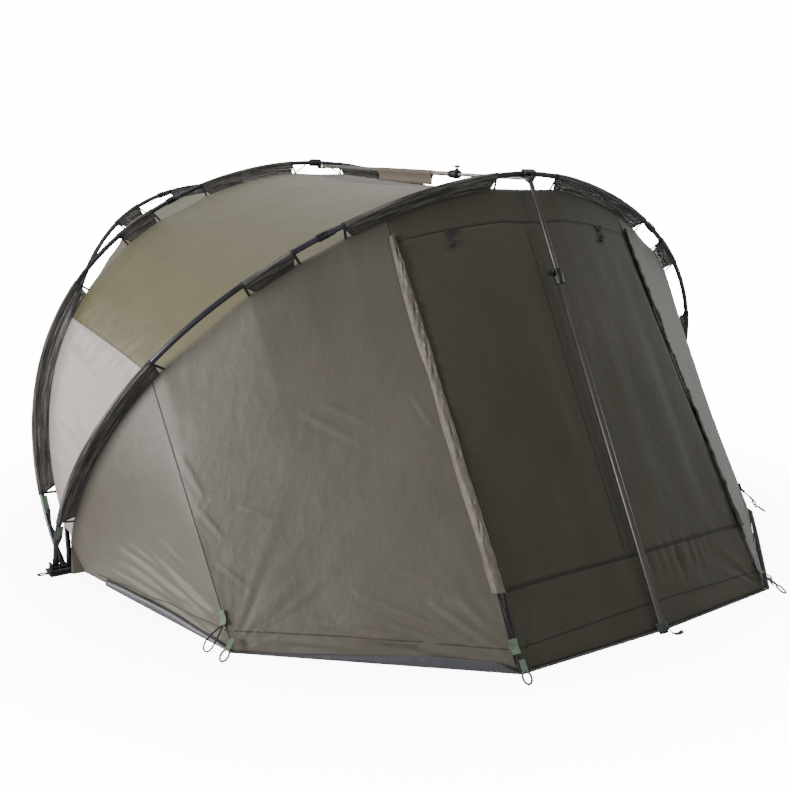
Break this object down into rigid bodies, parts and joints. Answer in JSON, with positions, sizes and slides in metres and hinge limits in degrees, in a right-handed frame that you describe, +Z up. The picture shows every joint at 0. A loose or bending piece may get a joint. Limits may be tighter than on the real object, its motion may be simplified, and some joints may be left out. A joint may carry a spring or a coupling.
{
  "type": "bivvy tent",
  "caption": "Low domed fishing bivvy on three ribs that fan from two ground hubs, with a zipped front door, a telescopic storm pole and a tension bar.",
  "frame": {"origin": "on the ground midway between the two hub blocks", "axes": "+X along the hub axis to the tent's right as seen from the front, +Y to the rear, +Z up"},
  "size_m": [3.0628, 2.963, 1.4622],
  "materials": {
    "alloy": "warm grey anodised",
    "flap": "coated cloth, beige",
    "front": "coated cloth, dark olive",
    "mesh": "dark woven mesh",
    "plastic": "black moulded nylon",
    "pole": "dark anodised, satin",
    "roof": "coated ripstop, khaki",
    "rubber": "black",
    "sheet": "heavy coated groundsheet, grey",
    "side": "coated cloth, grey beige",
    "webbing": "sage green webbing"
  },
  "bodies": {
    "tent": {"back_panel": "side", "groundsheet": "sheet", "hub_block_left": "plastic", "hub_block_right": "plastic", "middle_apex_block": "plastic", "middle_lower_sleeve_left": "mesh", "middle_lower_sleeve_right": "mesh", "middle_pole_left": "pole", "middle_pole_right": "pole", "middle_pole_top": "pole", "middle_tab_sleeve_left": "mesh", "middle_tab_sleeve_right": "mesh", "middle_top_sleeve_left": "mesh", "middle_top_sleeve_right": "mesh", "rear_peg_loop_left": "webbing", "rear_peg_loop_right": "webbing", "rear_roof_panel": "roof", "roof_panel": "roof"},
    "front_rib": {"front_pole_left": "pole", "front_pole_top": "pole", "front_pole_right": "pole", "front_apex_block": "plastic", "front_lower_sleeve_left": "mesh", "front_lower_sleeve_right": "mesh", "front_tab_sleeve_left": "mesh", "front_tab_sleeve_right": "mesh", "front_top_sleeve_left": "mesh", "front_top_sleeve_right": "mesh", "side_panel_left": "side", "side_panel_right": "side", "front_head_panel": "front", "front_sill_panel": "front", "zip_flap_left": "flap", "zip_flap_right": "flap", "side_peg_loop_left": "webbing", "side_peg_loop_right": "webbing", "front_peg_loop_left": "webbing", "front_peg_loop_right": "webbing", "storm_foot_loop": "webbing"},
    "rear_rib": {"rear_pole_left": "pole", "rear_pole_top": "pole", "rear_pole_right": "pole", "rear_lower_sleeve_left": "mesh", "rear_lower_sleeve_right": "mesh", "rear_tab_sleeve_left": "mesh", "rear_tab_sleeve_right": "mesh", "rear_top_sleeve": "mesh"},
    "door": {"door_panel": "front"},
    "zip_slider_left": {"zip_slider_left": "plastic"},
    "zip_slider_right": {"zip_slider_right": "plastic"},
    "storm_upper": {"storm_pole_upper": "pole"},
    "storm_lower": {"storm_pole_lower": "pole", "storm_clamp": "plastic", "storm_foot": "rubber"},
    "storm_knob": {"storm_knob": "plastic"},
    "bar_rear": {"bar_rear_tube": "alloy", "bar_clamp": "plastic", "bar_wrap": "flap"},
    "bar_front": {"bar_front_tube": "alloy"},
    "bar_knob": {"bar_knob": "plastic"}
  },
  "joints": [
    {"name": "front_rib_fold", "type": "hinge", "parent": "tent", "child": "front_rib", "pos_m": [0, 0, 0.022], "axis": [-1, 0, 0], "range_deg": [0, 46], "deforming": ["roof_panel", "side_panel_left", "side_panel_right", "front_head_panel", "door_panel", "front_sill_panel", "zip_flap_left", "zip_flap_right"]},
    {"name": "rear_rib_fold", "type": "hinge", "parent": "tent", "child": "rear_rib", "pos_m": [0, 0, 0.022], "axis": [1, 0, 0], "range_deg": [0, 12], "deforming": ["rear_roof_panel", "back_panel"]},
    {"name": "door_roll", "type": "hinge", "parent": "front_rib", "child": "door", "pos_m": [-0.00001, -0.77527, 1.2431], "axis": [1, 0, 0], "range_deg": [0, 100], "deforming": ["door_panel"]},
    {"name": "zip_run_left", "type": "slide", "parent": "front_rib", "child": "zip_slider_left", "axis": [0.0603, 0.5107, 0.8576], "range_m": [0, 1.05]},
    {"name": "zip_run_right", "type": "slide", "parent": "front_rib", "child": "zip_slider_right", "axis": [-0.0603, 0.5107, 0.8576], "range_m": [0, 1.05]},
    {"name": "storm_pole_swing", "type": "hinge", "parent": "front_rib", "child": "storm_upper", "pos_m": [-0.014, -0.77721, 1.36224], "axis": [-1, 0, 0], "range_deg": [0, 60], "deforming": ["storm_foot_loop"]},
    {"name": "storm_pole_slide", "type": "slide", "parent": "storm_upper", "child": "storm_lower", "axis": [0, 0.4575, 0.8892], "range_m": [0, 0.3]},
    {"name": "storm_knob_turn", "type": "hinge", "parent": "storm_lower", "child": "storm_knob", "pos_m": [-0.0428, -0.93183, 1.06168], "axis": [-1, 0, 0], "range_deg": [-270, 0]},
    {"name": "bar_swing", "type": "hinge", "parent": "tent", "child": "bar_rear", "pos_m": [0.0205, 0.734, 1.42968], "axis": [0, -0.0441, 0.999], "range_deg": [0, 90]},
    {"name": "bar_slide", "type": "slide", "parent": "bar_rear", "child": "bar_front", "axis": [0, 0.999, 0.0441], "range_m": [0, 0.25]},
    {"name": "bar_knob_turn", "type": "hinge", "parent": "bar_rear", "child": "bar_knob", "pos_m": [0.0205, -0.31825, 1.41211], "axis": [0, -0.0441, 0.999], "range_deg": [-270, 0]}
  ]
}
